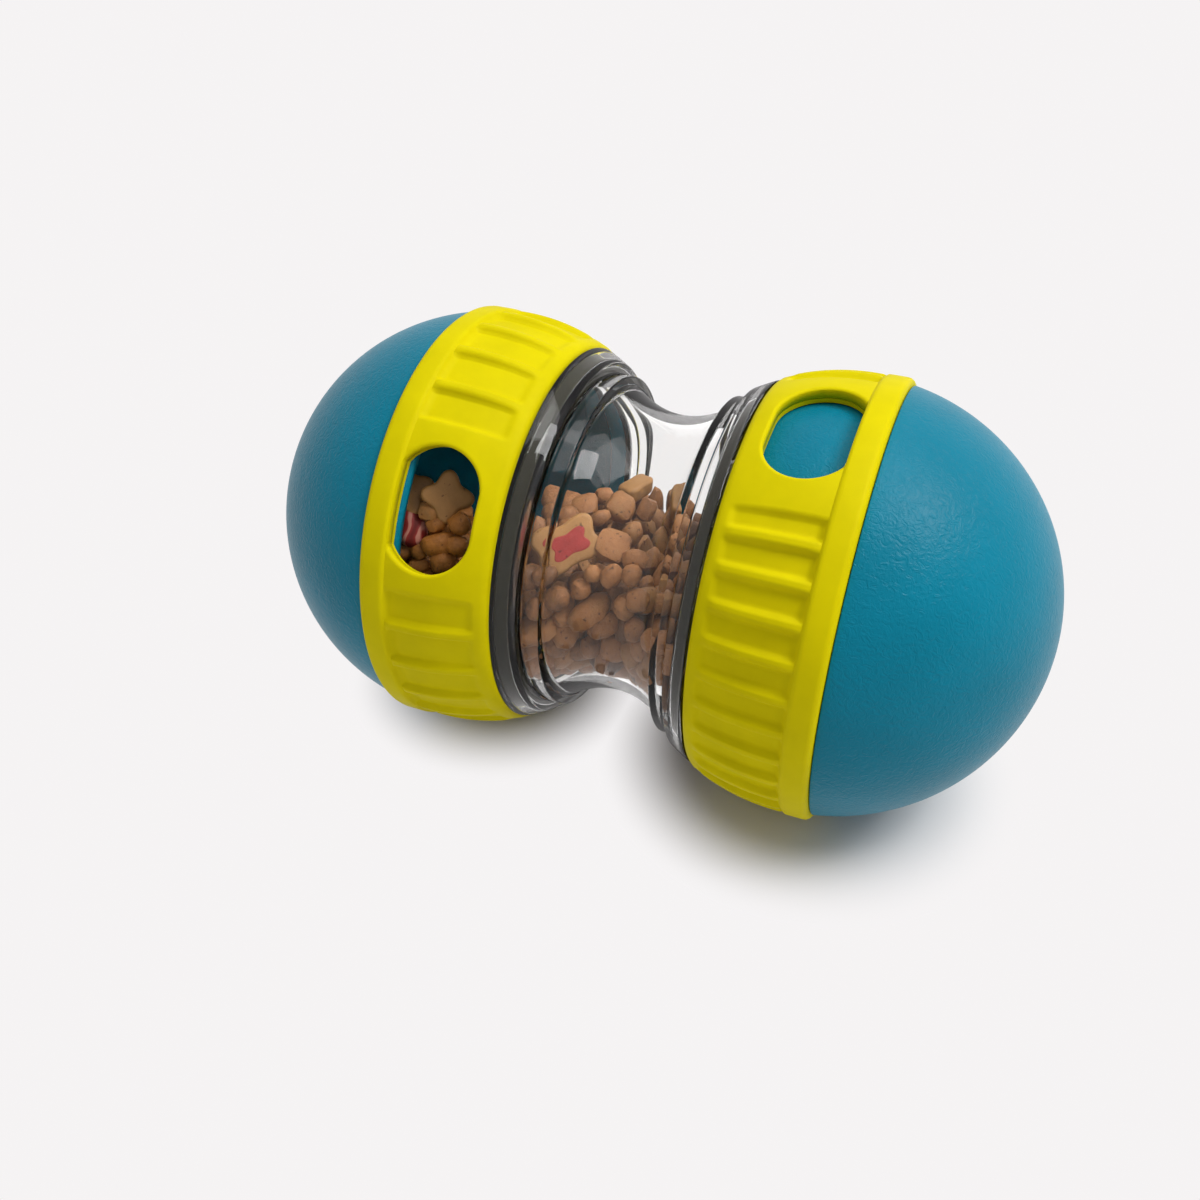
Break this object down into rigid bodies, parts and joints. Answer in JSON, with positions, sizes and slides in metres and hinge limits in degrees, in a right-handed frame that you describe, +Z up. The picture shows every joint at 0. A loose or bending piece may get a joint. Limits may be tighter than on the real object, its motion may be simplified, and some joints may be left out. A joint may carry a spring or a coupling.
{
  "type": "interactive pet feeder",
  "caption": "Rolling dumbbell treat dispenser: a clear hourglass tube with a screw-on hollow ball at each end and a ribbed collar that turns to open an outlet window.",
  "frame": {"origin": "on the floor below the middle of the clear tube", "axes": "+X along the feeder towards the end whose outlet is shut, +Z up, -Y towards the front where the open outlet looks"},
  "size_m": [0.1824, 0.1, 0.1],
  "materials": {
    "clear_plastic": "clear polished polycarbonate",
    "blue_plastic": "satin moulded ABS with a fine wrinkle grain",
    "yellow_rubber": "soft matt thermoplastic rubber",
    "yellow_plastic": "plain moulded polypropylene",
    "seal_rubber": "matt silicone",
    "treat": "dry baked pet food, matt and pitted",
    "biscuit": "pale baked biscuit, matt"
  },
  "bodies": {
    "tube": {"clear_tube": "clear_plastic", "tube_treats": "treat", "tube_biscuits": "biscuit"},
    "right_seal": {"right_seal_ring": "seal_rubber"},
    "right_ball": {"right_sleeve": "blue_plastic", "right_dome": "blue_plastic", "right_treats": "treat"},
    "right_gate": {"right_gate_ring": "yellow_plastic", "right_collar": "yellow_rubber"},
    "left_seal": {"left_seal_ring": "seal_rubber"},
    "left_ball": {"left_sleeve": "blue_plastic", "left_dome": "blue_plastic", "left_treats": "treat", "left_biscuits": "biscuit"},
    "left_gate": {"left_gate_ring": "yellow_plastic", "left_collar": "yellow_rubber"}
  },
  "joints": [
    {"name": "right_ball_unscrew", "type": "hinge", "parent": "tube", "child": "right_seal", "pos_m": [0.021, 0, 0.05], "axis": [1, 0, 0], "range_deg": [0, 450]},
    {"name": "right_ball_travel", "type": "slide", "parent": "right_seal", "child": "right_ball", "axis": [1, 0, 0], "range_m": [0, 0.00501]},
    {"name": "right_gate_turn", "type": "hinge", "parent": "right_ball", "child": "right_gate", "pos_m": [0.036, 0, 0.05], "axis": [-1, 0, 0], "range_deg": [0, 52]},
    {"name": "left_ball_unscrew", "type": "hinge", "parent": "tube", "child": "left_seal", "pos_m": [-0.021, 0, 0.05], "axis": [-1, 0, 0], "range_deg": [0, 450]},
    {"name": "left_ball_travel", "type": "slide", "parent": "left_seal", "child": "left_ball", "axis": [-1, 0, 0], "range_m": [0, 0.00501]},
    {"name": "left_gate_turn", "type": "hinge", "parent": "left_ball", "child": "left_gate", "pos_m": [-0.036, 0, 0.05], "axis": [-1, 0, 0], "range_deg": [0, 52]}
  ],
  "couplings": [
    {"joint": "right_ball_travel", "follows": "right_ball_unscrew", "m_per_rad": 0.00063662},
    {"joint": "left_ball_travel", "follows": "left_ball_unscrew", "m_per_rad": 0.00063662}
  ]
}
